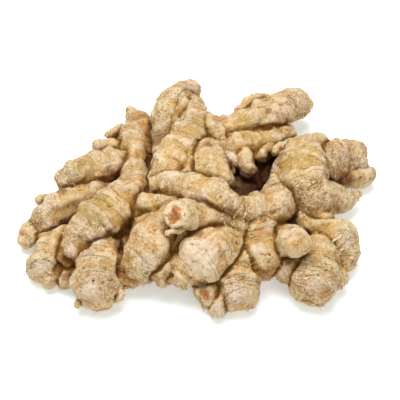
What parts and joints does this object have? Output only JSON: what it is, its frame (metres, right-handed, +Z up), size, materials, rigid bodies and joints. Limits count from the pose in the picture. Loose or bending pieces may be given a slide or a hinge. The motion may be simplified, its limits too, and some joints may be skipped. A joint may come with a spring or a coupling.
{
  "type": "ginger root",
  "caption": "Much-branched ginger rhizome with knobbly, blunt fingers, small buds and cut scars, lying on a table on flat spots under its lowest knobs.",
  "frame": {"origin": "on the table, halfway along and across the body", "axes": "+X along the body's length to its right in the picture, +Y away from the picture's viewer, +Z up from the table"},
  "size_m": [0.2161, 0.172, 0.0574],
  "materials": {
    "ginger_skin": "dry, matt, papery tan skin with thin rings and fibres"
  },
  "bodies": {
    "root": {"rhizome": "ginger_skin"}
  },
  "joints": []
}
